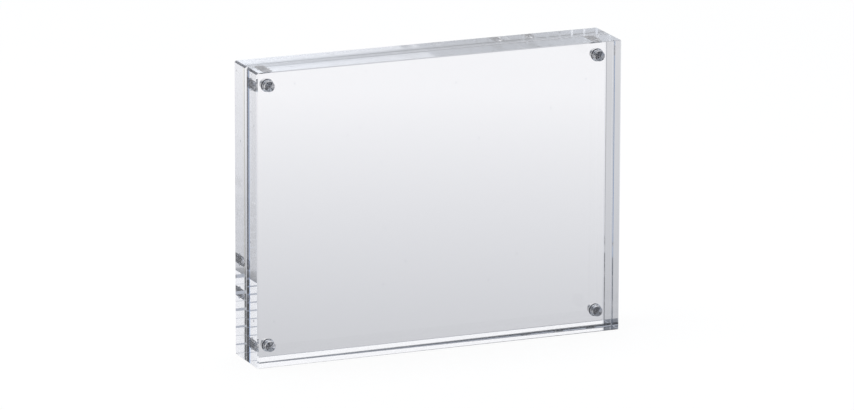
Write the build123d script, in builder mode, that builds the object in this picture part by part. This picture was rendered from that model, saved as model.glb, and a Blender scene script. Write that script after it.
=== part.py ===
from build123d import *

import os
from math import radians, tan

# Clear acrylic block frame: two thick polished plates held face to face by pairs of rod magnets.
# The frame stands on its long edge. X runs along its width, the front faces -Y, and Z is up, with the
# origin at the middle of the base. Left and right are as a viewer in front of it sees them.

# Plates, both sawn from sheet that is sold as 12 mm and varies by a few tenths
PLATE_WIDTH = 150.0
PLATE_HEIGHT = 115.0
FRONT_THICKNESS = 11.3
REAR_THICKNESS = 11.8
EDGE_CHAMFER = 0.45
# Air between the two mating faces, which a print fills
PRINT_GAP = 0.3

# Magnets, and the blind drilled holes that hold them
MAGNET_DIAMETER = 4.0
MAGNET_LENGTH = 4.5
MAGNET_EDGE_RADIUS = 0.2
RADIAL_CLEARANCE = 0.05
HOLE_SIDE_INSET = 7.05
HOLE_END_INSET = 6.8
MOUTH_CHAMFER = 0.6
DRILL_POINT_ANGLE = 118.0

# What follows from the sizes above: facing magnets stand proud and meet, which keeps the gap open
MAGNET_PROUD = PRINT_GAP / 2
HOLE_RADIUS = MAGNET_DIAMETER / 2 + RADIAL_CLEARANCE
HOLE_DEPTH = MAGNET_LENGTH - MAGNET_PROUD
DRILL_POINT_HEIGHT = HOLE_RADIUS / tan(radians(DRILL_POINT_ANGLE / 2))
HOLE_X = PLATE_WIDTH / 2 - HOLE_SIDE_INSET
HOLE_Z = PLATE_HEIGHT / 2 - HOLE_END_INSET
# The plates differ in thickness, so the middle of the gap lies off the middle of the depth
SEAM_Y = (FRONT_THICKNESS - REAR_THICKNESS) / 2

# The two sides of the seam: the way from the seam into each plate, and the plate's thickness
SIDES = {"front": (-1, FRONT_THICKNESS), "rear": (1, REAR_THICKNESS)}
# The four corners, as places on a mating face
CORNERS = {
    "top_left": (-HOLE_X, HOLE_Z),
    "top_right": (HOLE_X, HOLE_Z),
    "bottom_left": (-HOLE_X, -HOLE_Z),
    "bottom_right": (HOLE_X, -HOLE_Z),
}


def seam_plane(inward, offset=0.0, x=0.0, z=0.0):
    """A plane parallel to the seam, at an offset from its middle, with its own Z into the plate."""
    y = SEAM_Y + inward * offset
    return Plane(origin=(x, y, PLATE_HEIGHT / 2 + z), x_dir=(1, 0, 0), z_dir=(0, inward, 0))


def make_drill():
    """The shape that the drill leaves: a countersunk mouth, a straight wall and a point."""
    with BuildPart() as drill:
        with BuildSketch(Plane.XZ):
            with BuildLine():
                Polyline(
                    (0, 0),
                    (HOLE_RADIUS + MOUTH_CHAMFER, 0),
                    (HOLE_RADIUS, MOUTH_CHAMFER),
                    (HOLE_RADIUS, HOLE_DEPTH),
                    (0, HOLE_DEPTH + DRILL_POINT_HEIGHT),
                    close=True,
                )
            make_face()
        revolve(axis=Axis.Z)
    return drill.part


def make_plate(side, inward, thickness, drill):
    """One plate: a block with chamfered edges, drilled at each corner from its mating face."""
    face = seam_plane(inward, PRINT_GAP / 2)
    with BuildPart(face) as plate:
        with BuildSketch(face):
            Rectangle(PLATE_WIDTH, PLATE_HEIGHT)
        extrude(amount=thickness)
        chamfer(plate.edges(), length=EDGE_CHAMFER)
        with Locations(*CORNERS.values()):
            add(drill, mode=Mode.SUBTRACT)
    plate.part.label = f"{side}_plate"
    return plate.part


def make_magnet(side, inward, corner, place):
    """One rod magnet with rounded ends, from the seam's middle to the end of its hole's straight wall."""
    x, z = place
    with BuildPart() as magnet:
        with BuildSketch(seam_plane(inward, x=x, z=z)):
            Circle(MAGNET_DIAMETER / 2)
        extrude(amount=MAGNET_LENGTH)
        fillet(magnet.edges().filter_by(GeomType.CIRCLE), radius=MAGNET_EDGE_RADIUS)
    magnet.part.label = f"{side}_magnet_{corner}"
    return magnet.part


drill_shape = make_drill()
pieces = []
for side, (inward, thickness) in SIDES.items():
    pieces.append(make_plate(side, inward, thickness, drill_shape))
    for corner, place in CORNERS.items():
        pieces.append(make_magnet(side, inward, corner, place))

os.makedirs("parts", exist_ok=True)
for piece in pieces:
    export_step(piece, f"parts/{piece.label}.step")
    print(f"{piece.label}: {piece.volume:.2f} mm3")
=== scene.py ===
# %% [markdown]
# # A clear acrylic block frame
# Two thick polished plates stand face to face, and a pair of rod magnets near each corner holds them
# together. Almost everything that is seen here is light that was bent or folded inside the plates, so the
# lesson is about three things: clean flat faces, finely drilled holes, and a studio that is worth seeing
# through clear plastic.
#
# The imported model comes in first. It fixes every size and place, and each piece made below reads its own
# from there instead of repeating numbers.

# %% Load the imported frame
import math

import bmesh
import bpy
from mathutils import Matrix, Vector


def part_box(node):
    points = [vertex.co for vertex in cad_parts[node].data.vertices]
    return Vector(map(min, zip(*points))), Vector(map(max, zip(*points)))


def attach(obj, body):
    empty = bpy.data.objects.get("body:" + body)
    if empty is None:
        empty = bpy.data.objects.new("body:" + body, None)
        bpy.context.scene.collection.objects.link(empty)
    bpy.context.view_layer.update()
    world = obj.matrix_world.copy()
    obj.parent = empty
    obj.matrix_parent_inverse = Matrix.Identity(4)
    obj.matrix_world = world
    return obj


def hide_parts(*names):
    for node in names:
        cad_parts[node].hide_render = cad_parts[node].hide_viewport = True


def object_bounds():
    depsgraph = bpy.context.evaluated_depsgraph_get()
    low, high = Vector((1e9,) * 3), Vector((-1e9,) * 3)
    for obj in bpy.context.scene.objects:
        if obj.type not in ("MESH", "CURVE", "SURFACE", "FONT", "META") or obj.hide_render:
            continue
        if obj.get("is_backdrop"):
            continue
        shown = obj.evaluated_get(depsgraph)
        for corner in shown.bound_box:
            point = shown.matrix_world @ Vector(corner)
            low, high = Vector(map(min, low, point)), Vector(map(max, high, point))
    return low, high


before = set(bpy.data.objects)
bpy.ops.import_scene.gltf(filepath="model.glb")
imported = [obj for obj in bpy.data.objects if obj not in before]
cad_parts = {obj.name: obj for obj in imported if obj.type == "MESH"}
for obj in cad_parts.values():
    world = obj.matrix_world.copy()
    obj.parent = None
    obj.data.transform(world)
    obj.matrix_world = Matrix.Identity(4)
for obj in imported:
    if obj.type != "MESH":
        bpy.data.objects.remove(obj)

MM = 0.001
scene = bpy.context.scene
cad_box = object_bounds()
print("nodes:", ", ".join(sorted(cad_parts)))

# %% [markdown]
# ## The camera
# The picture was taken from the left, a little above, with a long lens: parallel edges of the block hardly
# run together. A camera can be aimed with a constraint, but here its direction is known as two angles, so
# its matrix is written down from three unit vectors: to the right, up, and back towards the viewer.

# %% Place the camera
AZIMUTH = math.radians(22.697)
ELEVATION = math.radians(14.384)
ROLL = math.radians(0.17)
DISTANCE = 2583.15 * MM
AIM_RIGHT = -0.541 * MM
AIM_UP = 52.428 * MM
# A camera's focal length and sensor are given in millimetres, and its far limit in metres
FOCAL_LENGTH = 283.13
SENSOR_WIDTH = 36
FAR_LIMIT = 50

toward_viewer = Vector((
    -math.sin(AZIMUTH) * math.cos(ELEVATION),
    -math.cos(AZIMUTH) * math.cos(ELEVATION),
    math.sin(ELEVATION),
))
level_right = Vector((math.cos(AZIMUTH), -math.sin(AZIMUTH), 0))
level_up = toward_viewer.cross(level_right)
right = level_right * math.cos(ROLL) + level_up * math.sin(ROLL)
up = level_up * math.cos(ROLL) - level_right * math.sin(ROLL)
eye = right * AIM_RIGHT + up * AIM_UP + toward_viewer * DISTANCE

lens = bpy.data.cameras.new("long_lens")
lens.sensor_width = SENSOR_WIDTH
lens.lens = FOCAL_LENGTH
lens.clip_end = FAR_LIMIT
camera = bpy.data.objects.new("camera", lens)
camera.matrix_world = Matrix((right, up, toward_viewer)).transposed().to_4x4()
camera.matrix_world.translation = eye
scene.collection.objects.link(camera)
scene.camera = camera
scene.view_settings.view_transform = "Standard"
print(f"camera at {eye.x:.3f}, {eye.y:.3f}, {eye.z:.3f} m")

# %% [markdown]
# ## A place for finished pieces
# Each new piece starts as a bmesh, stays at the origin with its place in its mesh, rides on one of the two
# halves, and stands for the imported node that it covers. One helper does those steps for all of them.

# %% Helper that finishes a piece
SIDES = {"front": -1, "rear": 1}
CORNERS = ("top_left", "top_right", "bottom_left", "bottom_right")


def finish_piece(name, bm, half, node):
    """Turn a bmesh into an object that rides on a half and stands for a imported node."""
    mesh = bpy.data.meshes.new(name)
    bm.to_mesh(mesh)
    bm.free()
    piece = bpy.data.objects.new(name, mesh)
    scene.collection.objects.link(piece)
    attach(piece, half)
    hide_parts(node)
    return piece


print(len(SIDES), "plates and", len(SIDES) * len(CORNERS), "magnets to make")

# %% [markdown]
# ## The rod magnets
# A rod magnet is a ground cylinder that is tumbled before it is plated, so its rims are round. A cylinder
# with many sides and a bevel on both rims gives that shape. The ends stay flat and the wall and rims are
# shaded smooth, because a flat end that is shaded smooth would look domed.

# %% Turn the magnets
MAGNET_SIDES = 96
RIM_RADIUS = 0.2 * MM
RIM_STEPS = 4
QUARTER_TURN = math.radians(90)


def turn_magnet(low, high):
    """A rod along Y that fills the box from low to high, with rounded rims."""
    radius = (high.x - low.x) / 2
    length = high.y - low.y
    bm = bmesh.new()
    bmesh.ops.create_cone(
        bm, cap_ends=True, segments=MAGNET_SIDES, radius1=radius, radius2=radius, depth=length,
        matrix=Matrix.Translation((low + high) / 2) @ Matrix.Rotation(QUARTER_TURN, 4, "X"),
    )
    rims = [e for e in bm.edges if abs(e.verts[0].co.y - e.verts[1].co.y) < length / 2]
    bmesh.ops.bevel(
        bm, geom=rims, offset=RIM_RADIUS, affect="EDGES", segments=RIM_STEPS, profile=0.5, material=-1,
    )
    for face in bm.faces:
        face.smooth = len(face.verts) < MAGNET_SIDES
    return bm


magnets = []
for side in SIDES:
    for corner in CORNERS:
        node = f"{side}_magnet_{corner}"
        rod = turn_magnet(*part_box(node))
        magnets.append(finish_piece(f"{side}_rod_{corner}", rod, f"{side}_half", node))
print(len(magnets), "magnets of", len(magnets[0].data.polygons), "faces")

# %% [markdown]
# ## The plates
# A plate is a sawn block with a drilled hole near each corner. The holes are the part to take care of: seen
# through clear plastic, every flat of a coarse hole flashes on its own. So the drill is spun from a profile
# in many steps. The rod is glued in, and glue that wets both sides leaves no air for light to turn back at,
# so the drill is a hair thinner than the rod, and light inside the plastic meets the plating itself.

# %% The shape that the drill leaves
DRILL_STEPS = 128
GLUE_BITE = 0.02 * MM
MOUTH_CHAMFER = 0.6 * MM
DRILL_POINT = math.radians(118)
OVERSHOOT = 0.3 * MM


def spin_drill(bm, magnet, mating_y, inward):
    """Add one drill to bm: a countersunk mouth at the mating face, a straight wall and a point."""
    low, high = magnet
    centre = Vector(((low.x + high.x) / 2, mating_y, (low.z + high.z) / 2))
    radius = (high.x - low.x) / 2 - GLUE_BITE
    far_end = high.y if inward > 0 else low.y
    depth = abs(far_end - mating_y)
    point = radius / math.tan(DRILL_POINT / 2)
    outline = (
        (0, -OVERSHOOT),
        (radius + MOUTH_CHAMFER + OVERSHOOT, -OVERSHOOT),
        (radius, MOUTH_CHAMFER),
        (radius, depth),
        (0, depth + point),
    )
    corners = [bm.verts.new(centre + Vector((out, inward * along, 0))) for out, along in outline]
    edges = [bm.edges.new(pair) for pair in zip(corners, corners[1:])]
    bmesh.ops.spin(
        bm, geom=corners + edges, cent=centre, axis=(0, 1, 0), angle=math.tau, steps=DRILL_STEPS,
        use_merge=True,
    )


print(f"drill with a point of {math.degrees(DRILL_POINT):.0f} degrees in {DRILL_STEPS} steps")

# %% [markdown]
# ## Scraped edges
# The sharp edges of a sawn block are broken by hand with a scraper, so no two are quite alike: the ones that
# it stands on are almost sharp, and the ones at the seam run out towards the base. A Bevel modifier gives all
# edges one width. Here a slanted plane cuts off each edge instead, and it may be tilted along the edge.

# %% Width of each edge
# Widths in millimetres at the low and the high end; below zero, the edge is sharp up to some way along
PLAIN_EDGE = (0.45, 0.45)
LEFT_TOP_EDGE = (0.7, 0.7)
FRONT_TOP_EDGE = (0.3, 0.3)
SEAM_TOP_EDGE = (0.2, 0.2)
SEAM_LEFT_EDGE = {"front": (-0.2, 1.1), "rear": (-0.15, 0.7)}
SEAM_FOOT_EDGE = {"front": (0.08, 0.42), "rear": (0.25, 0.8)}
OUTER_FOOT_EDGE = {"front": (0.1, 0.3), "rear": (0.08, 0.08)}
END_FOOT_EDGE = (0.15, 0.15)
EDGE_WAYS = [
    (x, y, z) for x in (-1, 0, 1) for y in (-1, 0, 1) for z in (-1, 0, 1) if (x, y, z).count(0) == 1
]


def edge_widths(way, side, inward):
    """Widths at the two ends of the edge of a plate that faces the given way."""
    x, y, z = way
    at_seam = y == -inward
    if z < 0:
        if x != 0:
            return END_FOOT_EDGE
        return SEAM_FOOT_EDGE[side] if at_seam else OUTER_FOOT_EDGE[side]
    if x < 0 and at_seam:
        return SEAM_LEFT_EDGE[side]
    if x < 0 and z > 0:
        return LEFT_TOP_EDGE
    if x == 0 and at_seam:
        return SEAM_TOP_EDGE
    if x == 0 and side == "front":
        return FRONT_TOP_EDGE
    return PLAIN_EDGE


print(len(EDGE_WAYS), "edges on each plate")

# %% [markdown]
# ## One scraped edge
# Three points fix the plane that cuts off an edge: two where the cut starts, one on each of the faces that
# meet at the edge, and a third where it ends. Bisect cuts the mesh along that plane and clears what lies
# outside it, and the open rim is then filled with one flat face, as a scraper leaves it.

# %% Cut that scrapes one edge
ON_PLANE = 0.0001 * MM


def scrape_edge(bm, low, high, way, widths):
    """Cut away the edge of the block that faces the given way, and close the cut."""
    along = way.index(0)
    first, second = [axis for axis in range(3) if axis != along]
    near = Vector([high[axis] if way[axis] > 0 else low[axis] for axis in range(3)])
    far = near.copy()
    near[along], far[along] = low[along], high[along]
    on_plane = []
    for corner, width, axis in ((near, widths[0], first), (near, widths[0], second), (far, widths[1], first)):
        point = corner.copy()
        point[axis] -= way[axis] * width * MM
        on_plane.append(point)
    normal = (on_plane[1] - on_plane[0]).cross(on_plane[2] - on_plane[0]).normalized()
    if normal.dot(Vector(way)) < 0:
        normal.negate()
    cut = bmesh.ops.bisect_plane(
        bm, geom=bm.verts[:] + bm.edges[:] + bm.faces[:], dist=ON_PLANE, plane_co=on_plane[0],
        plane_no=normal, clear_outer=True,
    )
    rim = [part for part in cut["geom_cut"] if isinstance(part, bmesh.types.BMEdge)]
    bmesh.ops.holes_fill(bm, edges=rim)


print(f"points within {ON_PLANE / MM:.4f} mm of a plane count as on it")

# %% [markdown]
# ## The blocks
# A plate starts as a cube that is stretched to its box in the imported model, and then loses its twelve edges
# one after another. Where three cuts meet at a corner they end in a small point. The face that looks at the
# other plate is noted for later: the holes start there.

# %% Cut the blocks
def cut_block(low, high, side, inward):
    """A block that fills the box from low to high, with its twelve edges scraped."""
    bm = bmesh.new()
    size = Matrix.Diagonal((*(high - low), 1))
    bmesh.ops.create_cube(bm, size=1, matrix=Matrix.Translation((low + high) / 2) @ size)
    for way in EDGE_WAYS:
        scrape_edge(bm, low, high, way, edge_widths(way, side, inward))
    bmesh.ops.recalc_face_normals(bm, faces=bm.faces[:])
    return bm


blocks = {}
mating_y = {}
for side, inward in SIDES.items():
    low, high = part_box(f"{side}_plate")
    mating_y[side] = low.y if inward > 0 else high.y
    blocks[side] = cut_block(low, high, side, inward)
    print(f"{side} block: {len(blocks[side].faces)} faces, mating face at {mating_y[side] / MM:.2f} mm")

# %% [markdown]
# ## Four drills for each plate
# The drills of a plate are one mesh, so that one cut does for all of them. They are shaded smooth, except
# where the profile turns sharply. The point is a cone, which would look domed if it were all smooth, so the
# edges that run to its tip are marked sharp too.

# %% Make the drills
SHARP_TURN = math.radians(20)
SAME_PLACE = 0.001 * MM


def make_drills(side, inward):
    """All four drills of a plate in one bmesh, smooth but for sharp turns and the points."""
    bm = bmesh.new()
    for corner in CORNERS:
        spin_drill(bm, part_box(f"{side}_magnet_{corner}"), mating_y[side], inward)
    bmesh.ops.remove_doubles(bm, verts=bm.verts[:], dist=SAME_PLACE)
    bmesh.ops.recalc_face_normals(bm, faces=bm.faces[:])
    for face in bm.faces:
        face.smooth = True
    for edge in bm.edges:
        at_tip = max(len(end.link_edges) for end in edge.verts) >= DRILL_STEPS
        edge.smooth = edge.calc_face_angle() < SHARP_TURN and not at_tip
    return bm


drills = {}
for side, inward in SIDES.items():
    drills[side] = make_drills(side, inward)
    print(f"{side} drills: {len(drills[side].faces)} faces")

# %% [markdown]
# ## Drilling
# A Boolean modifier takes the drills out of a block, and its result is read back as a bmesh. Its Exact solver
# keeps the block's flat faces and the drills' smooth ones as they were.

# %% Drill the blocks
def drill_block(block, drills):
    """The block with the drills taken away, as a new bmesh."""
    stock = []
    for name, bm in (("block", block), ("drills", drills)):
        mesh = bpy.data.meshes.new(name)
        bm.to_mesh(mesh)
        bm.free()
        stock.append(bpy.data.objects.new(name, mesh))
        scene.collection.objects.link(stock[-1])
    cut = stock[0].modifiers.new("drilling", "BOOLEAN")
    cut.operation = "DIFFERENCE"
    cut.solver = "EXACT"
    cut.object = stock[1]
    drilled = stock[0].evaluated_get(bpy.context.evaluated_depsgraph_get())
    bm = bmesh.new()
    bm.from_mesh(drilled.data)
    for piece in stock:
        bpy.data.objects.remove(piece)
    return bm


bored = {}
for side in SIDES:
    bored[side] = drill_block(blocks[side], drills[side])
    print(f"{side} plate: {bored[side].calc_volume() / MM**3:.0f} cubic mm")

# %% [markdown]
# ## Which finish goes where
# One plate has five finishes, and each face is given the number of its own. A smooth face belongs to a hole,
# because only the drills were shaded smooth, and the way that it faces tells the wall from the point. Flat
# faces go by the way they face as well: the two large ones, the narrow sides, and the edges that stay dull.

# %% Sort the faces by finish
CAST, BUFFED, SCRAPED, DRILLED, POINTED = range(5)
FLAT_ON = 0.999
POINT_LEANS = 0.8
LEANS = 0.5


def finish_of(face):
    """The finish of a face: cast sheet, buffed edge, scraped edge, drilled wall or drilled point."""
    if face.smooth:
        return POINTED if abs(face.normal.y) > POINT_LEANS else DRILLED
    if abs(face.normal.y) > FLAT_ON:
        return CAST
    left_top = face.normal.x < -LEANS and face.normal.z > LEANS
    foot = -FLAT_ON < face.normal.z < -LEANS
    return SCRAPED if left_top or foot else BUFFED


plates = {}
for side, plate in bored.items():
    for face in plate.faces:
        face.material_index = finish_of(face)
    plates[side] = finish_piece(
        f"{side}_clear_plate", plate, f"{side}_half", f"{side}_plate",
    )
    print(plates[side].name, "has", len(plates[side].data.polygons), "faces")

# %% [markdown]
# ## Nodes in few words
# Every material and the studio below are node trees. A helper makes a node, sets it up, and joins or fills
# its inputs, so that a line of code reads like the node does in the editor. Two more stand for what comes up
# again and again: a sum, and a span of values that is turned into another one.

# %% Node helpers
def add_node(tree, kind, inputs, **settings):
    """A new node with its settings, and its inputs filled with values or joined to other nodes."""
    node = tree.nodes.new(f"ShaderNode{kind}")
    for name, value in settings.items():
        setattr(node, name, value)
    for key, value in inputs.items():
        if isinstance(value, bpy.types.NodeSocket):
            tree.links.new(value, node.inputs[key])
        else:
            node.inputs[key].default_value = value
    return node


def add_math(tree, operation, first, second=0.0):
    """One sum with two numbers, either of which may come from another node."""
    return add_node(tree, "Math", {0: first, 1: second}, operation=operation).outputs[0]


def add_range(tree, value, low, high, at_low, at_high, curve="SMOOTHSTEP"):
    """A value that goes from at_low to at_high while the given one goes from low to high."""
    span = {"Value": value, "From Min": low, "From Max": high, "To Min": at_low, "To Max": at_high}
    return add_node(tree, "MapRange", span, interpolation_type=curve).outputs["Result"]


print("Blender", bpy.app.version_string, "builds the nodes")

# %% [markdown]
# ## A start for each finish
# A finish is one material with a Principled shader, and its patterns go by the place on the object, in
# metres. A Scale of 200 on a texture then means 200 cells in a metre, or one every 5 mm. Relief is given as
# a real depth too, and it is small: on clear plastic a hundredth of a millimetre already shows.

# %% Helpers for a finish
CLEAR = {"IOR": 1.4917, "Transmission Weight": 1.0}
METAL = {"Metallic": 1.0}
WHITE = (1, 1, 1, 1)
# A Mix node has sockets for every type of data under the same names, so those for colours go by number
MIX_SHARE, MIX_FIRST, MIX_SECOND, MIXED = 0, 6, 7, 2


def add_mix(tree, share, first, second):
    """A colour between two colours."""
    inputs = {MIX_SHARE: share, MIX_FIRST: first, MIX_SECOND: second}
    return add_node(tree, "Mix", inputs, data_type="RGBA").outputs[MIXED]


def add_bump(tree, shader, height, depth):
    """A relief on the shader, as deep as the given length where the height is one."""
    relief = add_node(tree, "Bump", {"Height": height, "Distance": depth})
    tree.links.new(relief.outputs["Normal"], shader.inputs["Normal"])


def new_finish(name, settings):
    """A new material as itself, its tree, its shader with the given sockets set, and its coordinates."""
    material = bpy.data.materials.new(name)
    material.use_nodes = True
    shader = material.node_tree.nodes["Principled BSDF"]
    for socket, value in settings.items():
        shader.inputs[socket].default_value = value
    place = add_node(material.node_tree, "TexCoord", {}).outputs["Object"]
    return material, material.node_tree, shader, place


print("clear acrylic bends light by an index of", CLEAR["IOR"])

# %% [markdown]
# ## Patterns that finishes share
# A pattern that more than one finish shows is built once, as a node group, and placed in each of them at a
# scale of its own. A group takes the place on the object and puts out masks, which are one where the pattern
# is and none elsewhere. How a mask changes colour, gloss or relief is up to the finish.

# %% Helpers for node groups
PLACE_AND_SCALE = {"Vector": "NodeSocketVector", "Scale": "NodeSocketFloat"}


def new_group(name, masks):
    """A node group that takes a place and a scale and puts out masks, with its two end nodes."""
    group = bpy.data.node_groups.new(name, "ShaderNodeTree")
    for socket, kind in PLACE_AND_SCALE.items():
        group.interface.new_socket(socket, in_out="INPUT", socket_type=kind)
    for mask in masks:
        group.interface.new_socket(mask, in_out="OUTPUT", socket_type="NodeSocketFloat")
    return group, group.nodes.new("NodeGroupInput").outputs, group.nodes.new("NodeGroupOutput").inputs


def add_group(tree, group, place, scale):
    """A node group placed in a material at a scale of its own, as its outputs."""
    return add_node(tree, "Group", {"Vector": place, "Scale": scale}, node_tree=group).outputs


print("a group takes", " and ".join(PLACE_AND_SCALE))

# %% [markdown]
# ## Marks from handling
# Polished plastic and plated metal both pick up fine scratches and a little dust, and both show them only as
# a slight change of gloss. Scratches are noise that is stretched one way and kept where it crosses one level.
# Specks are the cores of a few cells of a Voronoi texture.

# %% Group of handling marks
SCRATCH_TURN = (math.radians(24), math.radians(11), math.radians(37))
SCRATCH_STRETCH = (0.03, 1, 1)
SCRATCH_LEVEL = 0.62
SCRATCH_WIDTH = 0.006
SPECK_FULL, SPECK_GONE = 0.05, 0.12
CELL_BARE, CELL_CHOSEN = 0.84, 0.88

marks, given, masks = new_group("handling_marks", ("Scratches", "Specks"))
stretched = add_node(marks, "Mapping", {
    "Vector": given["Vector"], "Rotation": SCRATCH_TURN, "Scale": SCRATCH_STRETCH,
})
fibre = add_node(marks, "TexNoise", {
    "Vector": stretched.outputs["Vector"], "Scale": given["Scale"], "Detail": 2.0,
})
off_level = add_math(marks, "ABSOLUTE", add_math(marks, "SUBTRACT", fibre.outputs["Fac"], SCRATCH_LEVEL))
marks.links.new(add_range(marks, off_level, 0.0, SCRATCH_WIDTH, 1, 0), masks["Scratches"])
cells = add_node(marks, "TexVoronoi", {"Vector": given["Vector"], "Scale": given["Scale"]})
core = add_range(marks, cells.outputs["Distance"], SPECK_FULL, SPECK_GONE, 1, 0)
chosen = add_range(marks, cells.outputs["Color"], CELL_BARE, CELL_CHOSEN, 0, 1)
marks.links.new(add_math(marks, "MULTIPLY", core, chosen), masks["Specks"])
print("handling marks:", len(marks.nodes), "nodes")

# %% [markdown]
# ## Polished acrylic
# Clear cast acrylic bends light a little less than window glass does. The large faces keep the polish of the
# sheet, and they are so clear that the colour stays white: a wiped smear and a few specks of dust are all
# that shows. Light crosses these faces many times inside the block, so the roughness has to be zero wherever
# the polish is clean, and any relief stays on the specks.

# %% Material of the large faces
SHEET_MARKS = 200
DUST_TONE = (0.9, 0.905, 0.915, 1)
DUST_DULLNESS = 0.2
DUST_HEIGHT = 0.01 * MM
SMEAR_CENTRE = (-18 * MM, 0, 45 * MM)
SMEAR_SIZE = (30 * MM, 1, 12 * MM)
SMEAR_FULL, SMEAR_GONE = 0.2, 1.0
SMEAR_CLOUDS = 160
CLOUD_BARE, CLOUD_FULL = 0.4, 0.7
SMEAR_DULLNESS = 0.03

polished, tree, shader, place = new_finish("polished_acrylic", CLEAR)
worn = add_group(tree, marks, place, SHEET_MARKS)
in_smear = add_node(tree, "Mapping", {
    "Vector": place, "Location": SMEAR_CENTRE, "Scale": SMEAR_SIZE,
}, vector_type="TEXTURE")
from_centre = add_node(tree, "VectorMath", {0: in_smear.outputs["Vector"]}, operation="LENGTH")
cloud = add_node(tree, "TexNoise", {"Vector": place, "Scale": SMEAR_CLOUDS, "Detail": 4.0})
wiped = add_math(
    tree, "MULTIPLY", add_range(tree, from_centre.outputs["Value"], SMEAR_FULL, SMEAR_GONE, 1, 0),
    add_range(tree, cloud.outputs["Fac"], CLOUD_BARE, CLOUD_FULL, 0, 1),
)
dusty = add_math(tree, "MULTIPLY", worn["Specks"], DUST_DULLNESS)
dull = add_math(tree, "ADD", dusty, add_math(tree, "MULTIPLY", wiped, SMEAR_DULLNESS))
tree.links.new(dull, shader.inputs["Roughness"])
tree.links.new(add_mix(tree, worn["Specks"], WHITE, DUST_TONE), shader.inputs["Base Color"])
add_bump(tree, shader, worn["Specks"], DUST_HEIGHT)
print("polished acrylic:", len(tree.nodes), "nodes")

# %% [markdown]
# ## Where on the block
# The next finishes change from place to place: along the seam, up the left end, in the mouth of a hole. How
# far a point lies in a direction is a dot product. A band that comes in and goes out again is made of two Map
# Range nodes, one rising and one falling, multiplied. From front to back, places are counted from the seam.

# %% Helpers for place
X_AXIS = (1, 0, 0)
Y_AXIS = (0, 1, 0)
Z_AXIS = (0, 0, 1)
SEAM_Y = sum(mating_y.values()) / 2


def add_reach(tree, vector, direction):
    """How far a vector reaches in a direction."""
    node = add_node(tree, "VectorMath", {0: vector, 1: direction}, operation="DOT_PRODUCT")
    return node.outputs["Value"]


def add_band(tree, value, start, full, full_to, gone):
    """One while the value goes from full to full_to, and none before start and after gone."""
    rise = add_range(tree, value, start, full, 0, 1)
    fall = add_range(tree, value, full_to, gone, 1, 0)
    return add_math(tree, "MULTIPLY", rise, fall)


print(f"seam at {SEAM_Y / MM:.2f} mm from the middle of the depth")

# %% [markdown]
# ## Buffed edges
# The narrow sides were sawn, sanded and buffed on a wheel, and take a trace of grey from it. Through the left
# end the seam is seen at a steep angle. Light folded inside the block leaves a dark strip of shade along it,
# and acrylic spreads white light into colours there like a prism: a blue fringe on one side of the strip and
# a yellow one on the other. The renderer bends all colours alike, and the pale floor would wash the strip
# out, so all three are painted on that end: the strip as painted shade, the fringes as painted colour. They
# go by the distance from the seam.

# %% Material of the narrow sides
EDGE_MARKS = 260
EDGE_TONE = (0.945, 0.95, 0.96, 1)
EDGE_DUST_TONE = (0.8, 0.81, 0.83, 1)
EDGE_DUST_DULLNESS = 0.1
LEFT_END_FULL, LEFT_END_GONE = -74.9 * MM, -74.5 * MM
# Painted shade, then painted blue and yellow fringes: where each comes in, is full, is full to and has gone,
# in millimetres ahead of the seam, and its colour
PAINTED_SEAM_LIGHT = (
    (0.0, 0.05, 2.0, 3.5, (0.1, 0.105, 0.125, 1)),
    (2.45, 3.0, 3.5, 4.05, (0.3, 0.5, 0.95, 1)),
    (-2.35, -1.95, -1.55, -1.15, (0.9, 0.84, 0.6, 1)),
)

buffed, tree, shader, place = new_finish("buffed_edge", CLEAR)
worn = add_group(tree, marks, place, EDGE_MARKS)
tone = add_mix(tree, worn["Specks"], EDGE_TONE, EDGE_DUST_TONE)
ahead_of_seam = add_math(tree, "SUBTRACT", SEAM_Y, add_reach(tree, place, Y_AXIS))
at_left_end = add_range(tree, add_reach(tree, place, X_AXIS), LEFT_END_FULL, LEFT_END_GONE, 1, 0)
# Each band paints its colour on the left end: a dark strip of painted shade and two painted colour fringes
for *stops, tint in PAINTED_SEAM_LIGHT:
    painted_seam_band = add_band(tree, ahead_of_seam, *(stop * MM for stop in stops))
    tone = add_mix(tree, add_math(tree, "MULTIPLY", painted_seam_band, at_left_end), tone, tint)
tree.links.new(tone, shader.inputs["Base Color"])
tree.links.new(add_math(tree, "MULTIPLY", worn["Specks"], EDGE_DUST_DULLNESS), shader.inputs["Roughness"])
add_bump(tree, shader, worn["Specks"], DUST_HEIGHT)
print("buffed edge:", len(tree.nodes), "nodes")

# %% [markdown]
# ## Scraped edges that stay dull
# A scraper leaves a slight chatter. At the top of the left end it was never buffed out, so those two strips
# are satin. Along the base the edges are clear and carry painted shade, so they show as dark hairlines that
# grow darker to the right, like the shadow under the block. Both come from one material that goes by
# height: satin and pale near the top, clear with painted shade at the foot.

# %% Material of the scraped edges
# Noise seldom leaves the middle of its range
NOISE_LOW, NOISE_HIGH = 0.3, 0.7
CHATTER_SCALE = 400
CHATTER_HEIGHT = 0.02 * MM
SATIN_LOW, SATIN_HIGH = 0.35, 0.5
SATIN_TONE = (0.95, 0.96, 0.98, 1)
FOOT_TO, TOP_FROM = 50 * MM, 90 * MM
HALF_WIDTH = 75 * MM
# Painted shade for the hairlines along the base, lighter at the left and darker at the right
FOOT_SHADE_LEFT = (0.09, 0.093, 0.1, 1)
FOOT_SHADE_RIGHT = (0.03, 0.032, 0.036, 1)

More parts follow.
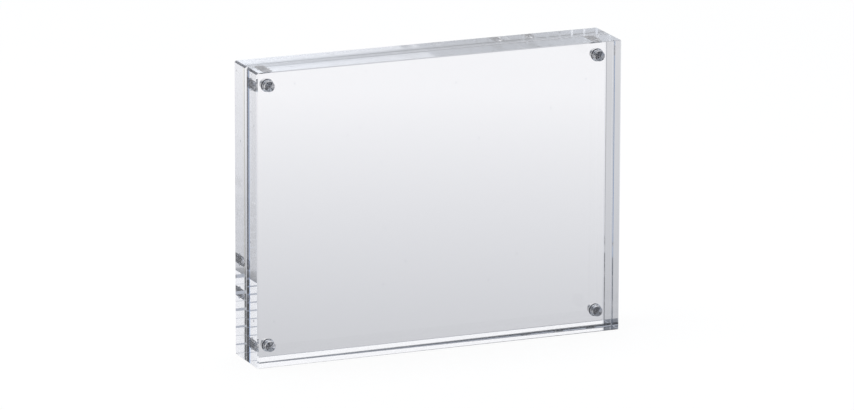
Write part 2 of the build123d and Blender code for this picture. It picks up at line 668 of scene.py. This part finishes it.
scraped, tree, shader, place = new_finish("scraped_edge", CLEAR)
chatter = add_node(tree, "TexNoise", {"Vector": place, "Scale": CHATTER_SCALE, "Detail": 3.0}).outputs["Fac"]
at_top = add_range(tree, add_reach(tree, place, Z_AXIS), FOOT_TO, TOP_FROM, 0, 1)
satin = add_range(tree, chatter, NOISE_LOW, NOISE_HIGH, SATIN_LOW, SATIN_HIGH)
tree.links.new(add_math(tree, "MULTIPLY", satin, at_top), shader.inputs["Roughness"])
rightward = add_range(
    tree, add_reach(tree, place, X_AXIS), -HALF_WIDTH, HALF_WIDTH, 0, 1, curve="LINEAR",
)
# The edges at the foot get painted shade that darkens towards the right
painted_foot_shade = add_mix(tree, rightward, FOOT_SHADE_LEFT, FOOT_SHADE_RIGHT)
tree.links.new(add_mix(tree, at_top, painted_foot_shade, SATIN_TONE), shader.inputs["Base Color"])
add_bump(tree, shader, add_math(tree, "MULTIPLY", chatter, at_top), CHATTER_HEIGHT)
print("scraped edge:", len(tree.nodes), "nodes")

# %% [markdown]
# ## Rings from the drill
# A drill leaves fine rings on all that it cuts. Two finishes below show them, the wall of a hole and its
# point, so the rings are a node group as well: waves along the axis of the hole, pushed about a little so
# that they don't look like a screw thread.

# %% Group of drill rings
RINGS = 900
drill_rings, given, masks = new_group("drill_rings", ("Rings",))
waves = add_node(drill_rings, "TexWave", {
    "Vector": given["Vector"], "Scale": given["Scale"], "Distortion": 1.5, "Detail": 2.0,
}, bands_direction="Y")
drill_rings.links.new(waves.outputs["Fac"], masks["Rings"])
print("drill rings:", len(drill_rings.nodes), "nodes")

# %% [markdown]
# ## Drilled holes
# The rings on the wall of a hole scatter a little light. Between the two rods of a pair the picture shows a
# black crescent, which may be glue or shadow. A dark colour in the mouth of each front hole stands for it,
# and is found by its distance from the seam.

# %% Material of the holes
WALL_SMOOTH, WALL_ROUGH = 0.08, 0.2
WALL_TONE = (0.96, 0.965, 0.97, 1)
WALL_RELIEF = 0.002 * MM
MOUTH_TONE = (0.004, 0.004, 0.005, 1)
# Where the ring in the mouth comes in, is full, is full to and has gone, behind the seam
MOUTH_RING = (-0.6 * MM, -0.55 * MM, -0.05 * MM, 0.05 * MM)

drilled, tree, shader, place = new_finish("drilled_acrylic", CLEAR)
rings = add_group(tree, drill_rings, place, RINGS)["Rings"]
tree.links.new(add_range(tree, rings, 0, 1, WALL_SMOOTH, WALL_ROUGH), shader.inputs["Roughness"])
behind_seam = add_math(tree, "SUBTRACT", add_reach(tree, place, Y_AXIS), SEAM_Y)
in_mouth = add_band(tree, behind_seam, *MOUTH_RING)
tone = add_mix(tree, rings, WHITE, WALL_TONE)
tree.links.new(add_mix(tree, in_mouth, tone, MOUTH_TONE), shader.inputs["Base Color"])
add_bump(tree, shader, rings, WALL_RELIEF)
print("drilled acrylic:", len(tree.nodes), "nodes")

# %% [markdown]
# ## Points of the holes
# The drill's point leaves a small cone in front of each rod. In the picture it looks like silver, dark on one
# side and pale on the other, as a pocket of air that turns light back would. Clear walls came out glassy and
# noisy here, so the cone is shaded as a metal with the rings of the drill in it. That stands in for the look,
# whatever fills the cone.

# %% Material of the points
POINT_SMOOTH, POINT_ROUGH = 0.08, 0.12
POINT_DARK = (0.57, 0.57, 0.58, 1)
POINT_PALE = (0.63, 0.63, 0.64, 1)
POINT_RELIEF = 0.0002 * MM

pointed, tree, shader, place = new_finish("silvery_point", METAL)
rings = add_group(tree, drill_rings, place, RINGS)["Rings"]
tree.links.new(add_mix(tree, rings, POINT_DARK, POINT_PALE), shader.inputs["Base Color"])
tree.links.new(add_range(tree, rings, 0, 1, POINT_SMOOTH, POINT_ROUGH), shader.inputs["Roughness"])
add_bump(tree, shader, rings, POINT_RELIEF)
for plate in plates.values():
    for finish in (polished, buffed, scraped, drilled, pointed):
        plate.data.materials.append(finish)
    points = sum(face.material_index == POINTED for face in plate.data.polygons)
    print(plate.name, "has", len(plate.data.materials), "finishes, and", points, "faces in its points")

# %% [markdown]
# ## Nickel plate
# The rods are plated and tumbled, which leaves a satin metal: bright, but with soft reflections. Clouds of
# slightly different gloss and a few hairline scratches keep it from looking like a plain mirror.

# %% Material of the magnets
NICKEL_MARKS = 700
NICKEL_CLOUDS = 300
NICKEL_DARK = (0.5, 0.497, 0.493, 1)
NICKEL_PALE = (0.58, 0.576, 0.572, 1)
NICKEL_SMOOTH, NICKEL_ROUGH = 0.12, 0.2
SCRATCH_DULLNESS = 0.12
SCRATCH_DEPTH = 0.001 * MM

nickel, tree, shader, place = new_finish("nickel_plate", METAL)
worn = add_group(tree, marks, place, NICKEL_MARKS)
cloud = add_node(tree, "TexNoise", {"Vector": place, "Scale": NICKEL_CLOUDS, "Detail": 3.0}).outputs["Fac"]
tree.links.new(add_mix(tree, cloud, NICKEL_DARK, NICKEL_PALE), shader.inputs["Base Color"])
scratched = add_math(tree, "MULTIPLY", worn["Scratches"], SCRATCH_DULLNESS)
satin = add_range(tree, cloud, NOISE_LOW, NOISE_HIGH, NICKEL_SMOOTH, NICKEL_ROUGH)
tree.links.new(add_math(tree, "ADD", satin, scratched), shader.inputs["Roughness"])
add_bump(tree, shader, worn["Scratches"], SCRATCH_DEPTH)
for magnet in magnets:
    magnet.data.materials.append(nickel)
print("nickel plate on", len(magnets), "magnets")

# %% [markdown]
# ## The studio floor
# The picture was cut out on white, while the block still shows the paper that it stood on. The Light Path
# node lets one floor do both. A ray that comes straight from the camera meets white paper with the block's
# shadow on it. A ray that was bent by clear plastic or turned back by metal meets the paper at the level that
# it had. The floor itself is a wide disc, a hair below the base, so that the two don't lie in one plane.

# %% Lay the floor
FLOOR_RADIUS = 4
FLOOR_SIDES = 96
UNDER_FEET = -0.3 * MM
bm = bmesh.new()
bmesh.ops.create_circle(bm, cap_ends=True, segments=FLOOR_SIDES, radius=FLOOR_RADIUS)
bmesh.ops.translate(bm, verts=bm.verts[:], vec=(0, 0, UNDER_FEET))
mesh = bpy.data.meshes.new("floor")
bm.to_mesh(mesh)
bm.free()
floor = bpy.data.objects.new("floor", mesh)
scene.collection.objects.link(floor)
floor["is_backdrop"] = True
print("floor of radius", FLOOR_RADIUS, "m")

# %% [markdown]
# ## Level of the paper
# Through the block the paper is bright far behind, and dimmer and bluer close by. One ramp along the line of
# sight gives that. A second one on the near side keeps the paper pale there, for a viewer who walks round to
# the back, and the brighter of the two counts. The left side is a little darker.

# %% Level of the paper
AWAY = (math.sin(AZIMUTH), math.cos(AZIMUTH), 0)
ACROSS = (math.cos(AZIMUTH), -math.sin(AZIMUTH), 0)
RAMP_LENGTH = 0.42
BEHIND_NEAR, BEHIND_FAR = 0.5, 0.795
AHEAD_NEAR, AHEAD_FAR = 0.46, 0.56
TINT_FROM = 0.05
NEAR_TINT = (0.932, 0.946, 1, 1)
FAR_TINT = (0.975, 0.975, 1, 1)
LEFT_FULL, LEFT_GONE = -0.24, -0.08
LEFT_KEEPS = 0.9


def add_shade(tree, level, share, keeps):
    """The level, brought down to the part that it keeps where the share is one."""
    return add_math(tree, "MULTIPLY", level, add_range(tree, share, 0, 1, 1, keeps, curve="LINEAR"))


paper = bpy.data.materials.new("floor_paper")
paper.use_nodes = True
tree = paper.node_tree
tree.nodes.clear()
place = add_node(tree, "TexCoord", {}).outputs["Object"]
away = add_reach(tree, place, AWAY)
behind = add_range(tree, away, 0.0, RAMP_LENGTH, BEHIND_NEAR, BEHIND_FAR, curve="LINEAR")
ahead = add_range(tree, away, -RAMP_LENGTH, 0.0, AHEAD_FAR, AHEAD_NEAR, curve="LINEAR")
level = add_math(tree, "MAXIMUM", behind, ahead)
far = add_range(tree, away, TINT_FROM, RAMP_LENGTH, 0, 1, curve="LINEAR")
tint = add_mix(tree, far, NEAR_TINT, FAR_TINT)
on_left = add_range(tree, add_reach(tree, place, ACROSS), LEFT_FULL, LEFT_GONE, 1, 0)
level = add_shade(tree, level, on_left, LEFT_KEEPS)
print("paper level:", len(tree.nodes), "nodes so far")

# %% [markdown]
# ## Shade close to the block
# Light comes down through a clear block to the paper under it. The bands along the base show that: bright on
# the left, fading to the right, and a short shadow past the right end. Both are masks made from strips in X
# and Y, which change the level of the paper where they lie.

# %% Shade close to the block
BASE_X, BASE_X_SOFT = 74 * MM, 4 * MM
BASE_Y, BASE_Y_SOFT = 11 * MM, 3 * MM
UNDER_LEFT, UNDER_RIGHT = 0.93, 0.3
UNDER_TINT = (0.84, 0.9, 1, 1)
LEFT_FOOT_TO, LEFT_FOOT_GONE = -55 * MM, -35 * MM
LEFT_FOOT_KEEPS = 0.5
PAST_END = (74 * MM, 76 * MM, 76 * MM, 86 * MM)
PAST_END_SOFT = 4 * MM
PAST_END_KEEPS = 0.4


def add_strip(tree, value, half_width, soft):
    """One within a half width of zero, and none a little further out."""
    return add_range(tree, add_math(tree, "ABSOLUTE", value), half_width, half_width + soft, 1, 0)


x, y = (add_reach(tree, place, axis) for axis in (X_AXIS, Y_AXIS))
under = add_math(
    tree, "MULTIPLY", add_strip(tree, x, BASE_X, BASE_X_SOFT), add_strip(tree, y, BASE_Y, BASE_Y_SOFT),
)
fade = add_range(tree, x, -HALF_WIDTH, HALF_WIDTH, UNDER_LEFT, UNDER_RIGHT, curve="LINEAR")
left_foot = add_range(tree, x, LEFT_FOOT_TO, LEFT_FOOT_GONE, LEFT_FOOT_KEEPS, 1)
fade = add_math(tree, "MULTIPLY", fade, left_foot)
kept = add_shade(tree, level, under, 0)
level = add_math(tree, "ADD", kept, add_math(tree, "MULTIPLY", fade, under))
tint = add_mix(tree, under, tint, UNDER_TINT)
past_end = add_math(
    tree, "MULTIPLY", add_band(tree, x, *PAST_END), add_strip(tree, y, BASE_Y, PAST_END_SOFT),
)
level = add_shade(tree, level, past_end, PAST_END_KEEPS)
print("with shade:", len(tree.nodes), "nodes")

# %% [markdown]
# ## The two sides of the paper
# For bent rays the paper gives off its level as light, and at a grazing angle it also mirrors the room a
# little, which a Fresnel node works out. For straight rays it is white: nearly all of that is light that it
# gives off, and a small diffuse share is what takes the shadow.

# %% Put the paper together
SHEEN_TONE = (0.65, 0.65, 0.65, 1)
SHEEN_IOR = 1.5
WHITE_LEVEL = 0.94
SHADOW_TONE = (0.06, 0.06, 0.06, 1)
seen_bent = add_node(tree, "Emission", {"Color": tint, "Strength": level})
sheen = add_node(tree, "BsdfGlossy", {"Color": SHEEN_TONE, "Roughness": 0.0})
nothing = add_node(tree, "BsdfTransparent", {"Color": (0, 0, 0, 1)})
grazing = add_node(tree, "Fresnel", {"IOR": SHEEN_IOR})
polish = add_node(tree, "MixShader", {0: grazing.outputs["Fac"], 1: nothing.outputs[0], 2: sheen.outputs[0]})
bent_paper = add_node(tree, "AddShader", {0: seen_bent.outputs[0], 1: polish.outputs[0]})
white = add_node(tree, "Emission", {"Color": WHITE, "Strength": WHITE_LEVEL})
shadow_catcher = add_node(tree, "BsdfDiffuse", {"Color": SHADOW_TONE})
straight_paper = add_node(tree, "AddShader", {0: white.outputs[0], 1: shadow_catcher.outputs[0]})
path = add_node(tree, "LightPath", {})
bent = add_math(tree, "MAXIMUM", path.outputs["Is Glossy Ray"], path.outputs["Is Transmission Ray"])
surface = add_node(tree, "MixShader", {0: bent, 1: straight_paper.outputs[0], 2: bent_paper.outputs[0]})
add_node(tree, "OutputMaterial", {"Surface": surface.outputs[0]})
floor.data.materials.append(paper)
print("floor paper:", len(tree.nodes), "nodes")

# %% [markdown]
# ## The room
# Clear plastic is drawn by what stands around it. Behind the block on the right hangs a wide white screen,
# which fills the bands along the base. More light comes from overhead, from a reflector at the right and
# from a dim wall behind on the left. The rest of the room is almost dark, which draws the dark lines. All of
# it is painted on the world by direction. The camera itself sees plain white above the floor.

# %% Paint the room
SCREEN_AZIMUTH = math.radians(36)
REFLECTOR_AZIMUTH = math.radians(120)
DIM_WALL_AZIMUTH = -AZIMUTH
OVERHEAD_FROM, OVERHEAD_FULL = 0.3, 0.5
OVERHEAD_LEVEL = 0.5
DIM_HUE = (0.8, 0.86, 1, 1)
SCREEN_HUE = (0.965, 0.97, 1, 1)


def add_side(tree, place, azimuth, start, full, dark, bright):
    """Light from one side of the room, which comes up as a direction turns to it."""
    toward = add_reach(tree, place, (math.sin(azimuth), math.cos(azimuth), 0))
    return add_range(tree, toward, start, full, dark, bright)


room = bpy.data.worlds.new("studio")
scene.world = room
room.use_nodes = True
tree = room.node_tree
tree.nodes.clear()
place = add_node(tree, "TexCoord", {}).outputs["Generated"]
screen = add_side(tree, place, SCREEN_AZIMUTH, start=0.55, full=0.85, dark=0.035, bright=1.05)
reflector = add_side(tree, place, REFLECTOR_AZIMUTH, start=0.8, full=0.93, dark=0, bright=0.4)
dim_wall = add_side(tree, place, DIM_WALL_AZIMUTH, start=0.6, full=0.9, dark=0, bright=0.22)
height = add_reach(tree, place, Z_AXIS)
overhead = add_range(tree, height, OVERHEAD_FROM, OVERHEAD_FULL, 0, OVERHEAD_LEVEL)
sides = add_math(tree, "ADD", add_math(tree, "ADD", screen, reflector), dim_wall)
light = add_math(tree, "ADD", sides, overhead)
hue = add_mix(tree, screen, DIM_HUE, SCREEN_HUE)
straight = add_node(tree, "LightPath", {}).outputs["Is Camera Ray"]
studio = add_node(tree, "Background", {"Color": hue, "Strength": light})
backdrop = add_node(tree, "Background", {"Color": WHITE, "Strength": 1.0})
seen = add_node(tree, "MixShader", {0: straight, 1: studio.outputs[0], 2: backdrop.outputs[0]})
add_node(tree, "OutputWorld", {"Surface": seen.outputs[0]})
print("room:", len(tree.nodes), "nodes")

# %% [markdown]
# ## The lamp, and how long light may travel
# One soft lamp overhead gives the floor its shadow. It is kept out of reflections, where its edges would
# flash in every scraped edge; the room above already stands for what those reflect. Inside the block light is
# folded again and again, so rays need far more bounces than in most scenes, or the edges turn black.

# %% Lamp and bounces
LAMP_WIDTH, LAMP_DEPTH = 0.9, 0.6
LAMP_POWER = 12
LAMP_PLACE = (-0.2, 0.1, 1.3)
BOUNCES = 64
lamp = bpy.data.lights.new("overhead_lamp", "AREA")
lamp.shape = "RECTANGLE"
lamp.size = LAMP_WIDTH
lamp.size_y = LAMP_DEPTH
lamp.energy = LAMP_POWER
overhead_lamp = bpy.data.objects.new("overhead_lamp", lamp)
overhead_lamp.location = LAMP_PLACE
overhead_lamp.visible_glossy = False
overhead_lamp.visible_transmission = False
scene.collection.objects.link(overhead_lamp)
scene.cycles.max_bounces = BOUNCES
scene.cycles.glossy_bounces = BOUNCES
scene.cycles.transmission_bounces = BOUNCES
print(f"lamp of {LAMP_POWER} W, light followed for {BOUNCES} bounces")

# %% [markdown]
# ## The two boxes
# The pieces made here should fill the same box as the imported model; both boxes are printed.

# %% Print the two boxes
visual_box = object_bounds()
for name, box in (("packed", cad_box), ("visual", visual_box)):
    print(name, "box in mm:", ", ".join(f"{(top - low) / MM:.2f}" for low, top in zip(*box)))
